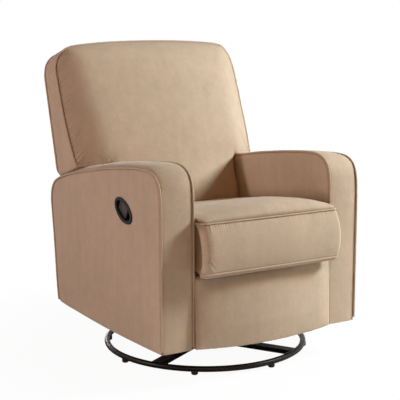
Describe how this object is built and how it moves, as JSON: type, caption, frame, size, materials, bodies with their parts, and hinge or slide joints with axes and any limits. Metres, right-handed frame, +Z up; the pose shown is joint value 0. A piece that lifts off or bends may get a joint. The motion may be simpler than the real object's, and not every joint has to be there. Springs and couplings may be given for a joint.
{
  "type": "glider nursery chair",
  "caption": "Upholstered swivel glider recliner for a nursery: padded arms, box seat and T-shaped back on a ring base, with a lazy-tong footrest and a side release lever.",
  "frame": {"origin": "on the floor under the middle of the chair's overall box, with the footrest folded and the back upright", "axes": "+Z up, the sitter faces -Y, +X is to the sitter's left"},
  "size_m": [0.7438, 0.9103, 1.0343],
  "materials": {
    "microfibre": "soft short-nap microfibre",
    "base_metal": "dark bronze powder coat",
    "zinc_steel": "zinc-plated",
    "timber": "raw plywood and softwood",
    "webbing": "woven elastic",
    "black_plastic": "satin moulded",
    "lever_plastic": "satin moulded"
  },
  "bodies": {
    "base": {"base_ring": "base_metal", "base_spokes": "base_metal", "floor_glides": "black_plastic", "kingpin_hub": "base_metal"},
    "swivel": {"swivel_race": "base_metal", "swivel_plate": "base_metal", "swivel_rails": "base_metal", "glider_uprights": "base_metal", "glider_upper_pins": "zinc_steel"},
    "front_links": {"front_glide_links": "base_metal"},
    "rear_links": {"rear_glide_links": "base_metal"},
    "carriage": {"glide_hanger_rails": "base_metal", "glider_lower_pins": "zinc_steel", "carriage_cross_tubes": "base_metal", "body_side_plates": "base_metal", "left_arm_cover": "microfibre", "left_arm_frame": "timber", "right_arm_cover": "microfibre", "right_arm_frame": "timber", "rear_rail": "timber", "rear_cover": "microfibre", "release_cup": "black_plastic", "release_pin": "zinc_steel"},
    "release_lever": {"release_lever": "lever_plastic"},
    "seat": {"seat_side_plates": "zinc_steel", "seat_slide_pins": "zinc_steel", "seat_cross_tube": "zinc_steel", "seat_frame": "timber", "seat_webbing": "webbing", "seat_cushion": "microfibre"},
    "back": {"back_cushion": "microfibre", "back_frame": "timber", "back_webbing": "webbing", "back_brackets": "zinc_steel", "outside_back": "microfibre"},
    "outer_links_1": {"footrest_outer_links_1": "zinc_steel"},
    "inner_links_1": {"footrest_inner_links_1": "zinc_steel"},
    "outer_links_2": {"footrest_outer_links_2": "zinc_steel"},
    "inner_links_2": {"footrest_inner_links_2": "zinc_steel"},
    "outer_links_3": {"footrest_outer_links_3": "zinc_steel"},
    "inner_links_3": {"footrest_inner_links_3": "zinc_steel"},
    "tilt_links": {"footrest_tilt_links": "zinc_steel"},
    "footrest": {"footrest_brackets": "zinc_steel", "footrest_board": "timber", "footrest_pad": "microfibre"}
  },
  "joints": [
    {"name": "swivel", "type": "hinge", "parent": "base", "child": "swivel", "pos_m": [0, -0.033, 0.04], "axis": [0, 0, 1], "continuous": true},
    {"name": "glide", "type": "hinge", "parent": "swivel", "child": "front_links", "pos_m": [0, -0.098, 0.205], "axis": [1, 0, 0], "range_deg": [-24, 24]},
    {"name": "rear_link_swing", "type": "hinge", "parent": "swivel", "child": "rear_links", "pos_m": [0, 0.032, 0.205], "axis": [1, 0, 0], "range_deg": [-24, 24]},
    {"name": "carriage_level", "type": "hinge", "parent": "front_links", "child": "carriage", "pos_m": [0, -0.098, 0.095], "axis": [1, 0, 0], "range_deg": [-24, 24]},
    {"name": "release_lever", "type": "hinge", "parent": "carriage", "child": "release_lever", "pos_m": [-0.3625, -0.11394, 0.53283], "axis": [0, 0.4067, -0.9135], "range_deg": [0, 25], "stiffness_Nm_per_rad": 0.35},
    {"name": "seat_slide", "type": "slide", "parent": "carriage", "child": "seat", "axis": [0, -0.9903, 0.1392], "range_m": [0, 0.02]},
    {"name": "recline", "type": "hinge", "parent": "seat", "child": "back", "pos_m": [0, 0.25521, 0.37242], "axis": [-1, 0, 0], "range_deg": [0, 30]},
    {"name": "footrest", "type": "hinge", "parent": "seat", "child": "outer_links_1", "pos_m": [0, -0.20369, 0.27891], "axis": [-1, 0, 0], "range_deg": [0, 55]},
    {"name": "cross_1", "type": "hinge", "parent": "outer_links_1", "child": "inner_links_1", "pos_m": [0, -0.22687, 0.20758], "axis": [-1, 0, 0], "range_deg": [-110, 0]},
    {"name": "lower_1", "type": "hinge", "parent": "outer_links_1", "child": "inner_links_2", "pos_m": [0, -0.25004, 0.13625], "axis": [-1, 0, 0], "range_deg": [-110, 0]},
    {"name": "upper_1", "type": "hinge", "parent": "inner_links_1", "child": "outer_links_2", "pos_m": [0, -0.24246, 0.28094], "axis": [-1, 0, 0], "range_deg": [0, 110]},
    {"name": "upper_2", "type": "hinge", "parent": "inner_links_2", "child": "outer_links_3", "pos_m": [0, -0.28123, 0.28297], "axis": [-1, 0, 0], "range_deg": [0, 110]},
    {"name": "lower_2", "type": "hinge", "parent": "outer_links_2", "child": "inner_links_3", "pos_m": [0, -0.28881, 0.13828], "axis": [-1, 0, 0], "range_deg": [-110, 0]},
    {"name": "footrest_turn", "type": "hinge", "parent": "inner_links_3", "child": "footrest", "pos_m": [0, -0.32, 0.285], "axis": [-1, 0, 0], "range_deg": [0, 135]},
    {"name": "tilt_link_turn", "type": "hinge", "parent": "outer_links_3", "child": "tilt_links", "pos_m": [0, -0.27045, 0.1964], "axis": [-1, 0, 0], "range_deg": [-99.69, 0]}
  ],
  "couplings": [
    {"joint": "rear_link_swing", "follows": "glide", "ratio": 1},
    {"joint": "carriage_level", "follows": "glide", "ratio": -1},
    {"joint": "seat_slide", "follows": "recline", "m_per_rad": 0.038197},
    {"joint": "cross_1", "follows": "footrest", "ratio": -2},
    {"joint": "lower_1", "follows": "footrest", "ratio": -2},
    {"joint": "upper_1", "follows": "footrest", "ratio": 2},
    {"joint": "upper_2", "follows": "footrest", "ratio": 2},
    {"joint": "lower_2", "follows": "footrest", "ratio": -2},
    {"joint": "footrest_turn", "follows": "footrest", "ratio": 2.4545},
    {"joint": "tilt_link_turn", "follows": "footrest", "ratio": -1.8124}
  ]
}
